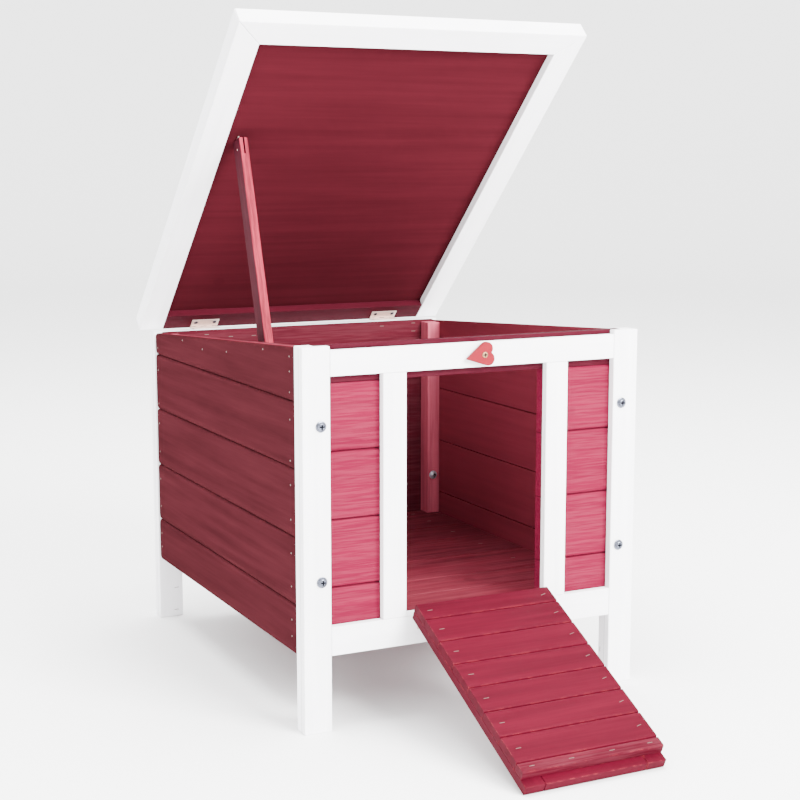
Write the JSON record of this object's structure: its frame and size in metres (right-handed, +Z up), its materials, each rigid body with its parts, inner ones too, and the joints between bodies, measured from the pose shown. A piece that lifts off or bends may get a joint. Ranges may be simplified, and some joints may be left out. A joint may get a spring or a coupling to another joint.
{
  "type": "hen house",
  "caption": "Wooden hen house on legs with a hinged flat lid held by a prop stick, a drop-down ramp door and a heart-shaped turn button.",
  "frame": {"origin": "centre of the bounding box in x and y, on the ground, with the lid propped and the ramp down", "axes": "+Z up, -Y towards the doorway and ramp, +X across to the right when facing the doorway from outside"},
  "size_m": [0.4442, 0.7855, 0.7749],
  "materials": {
    "white_paint": "satin paint",
    "red_stain": "stained, low sheen",
    "pink_stain": "stained, rough sawn",
    "inner_stain": "stained, rough sawn",
    "lid_stain": "stained plywood",
    "ramp_stain": "stained, low sheen",
    "heart_paint": "stained",
    "zinc_plate": "zinc plated"
  },
  "bodies": {
    "house": {"back_boards": "inner_stain", "back_post_left": "white_paint", "back_post_right": "white_paint", "back_top_rail": "white_paint", "bolt_lower_left": "zinc_plate", "bolt_lower_right": "zinc_plate", "bolt_upper_left": "zinc_plate", "bolt_upper_right": "zinc_plate", "corner_batten_back_left": "inner_stain", "corner_batten_back_right": "inner_stain", "corner_batten_front_left": "inner_stain", "corner_batten_front_right": "inner_stain", "door_header": "red_stain", "door_stile_left": "white_paint", "door_stile_right": "white_paint", "floor_bearer_left": "inner_stain", "floor_bearer_right": "inner_stain", "floor_boards": "inner_stain", "front_bottom_rail": "white_paint", "front_infill_left": "pink_stain", "front_infill_right": "pink_stain", "front_post_left": "white_paint", "front_post_right": "white_paint", "front_top_rail": "white_paint", "left_top_batten": "inner_stain", "lid_hinge_left_frame_leaf": "zinc_plate", "lid_hinge_right_frame_leaf": "zinc_plate", "ramp_hinge_rail_leaf": "zinc_plate", "side_board_left_1": "red_stain", "side_board_left_2": "red_stain", "side_board_left_3": "red_stain", "side_board_left_4": "red_stain", "side_board_left_5": "red_stain", "side_board_right_1": "red_stain", "side_board_right_2": "red_stain", "side_board_right_3": "red_stain", "side_board_right_4": "red_stain", "side_board_right_5": "red_stain"},
    "lid": {"lid_back_batten": "red_stain", "lid_hinge_left_lid_leaf": "zinc_plate", "lid_hinge_right_lid_leaf": "zinc_plate", "lid_panel": "lid_stain", "lid_rail_front": "white_paint", "lid_rail_left": "white_paint", "lid_rail_right": "white_paint", "prop_tab": "zinc_plate"},
    "prop": {"prop_stick": "pink_stain"},
    "ramp": {"ramp_board_1": "ramp_stain", "ramp_board_2": "ramp_stain", "ramp_board_3": "ramp_stain", "ramp_board_4": "ramp_stain", "ramp_board_5": "ramp_stain", "ramp_board_6": "ramp_stain", "ramp_board_7": "ramp_stain", "ramp_cross_rail": "ramp_stain", "ramp_hinge_ramp_leaf": "zinc_plate", "ramp_lip_strip": "ramp_stain", "ramp_stringer_left": "pink_stain", "ramp_stringer_right": "pink_stain"},
    "heart": {"heart_button": "heart_paint"}
  },
  "joints": [
    {"name": "lid_hinge", "type": "hinge", "parent": "house", "child": "lid", "pos_m": [0, 0.37565, 0.3885], "axis": [1, 0, 0], "range_deg": [-46.3, 40.3]},
    {"name": "prop_pivot", "type": "hinge", "parent": "lid", "child": "prop", "pos_m": [-0.17175, 0.12257, 0.62433], "axis": [1, 0, 0], "range_deg": [0, 64]},
    {"name": "ramp_hinge", "type": "hinge", "parent": "house", "child": "ramp", "pos_m": [0, -0.14655, 0.116], "axis": [1, 0, 0], "range_deg": [-115.7, 0]},
    {"name": "heart_swivel", "type": "hinge", "parent": "house", "child": "heart", "pos_m": [0.0037, -0.14955, 0.4021], "axis": [0, 1, 0], "range_deg": [-78.9, 0]}
  ]
}
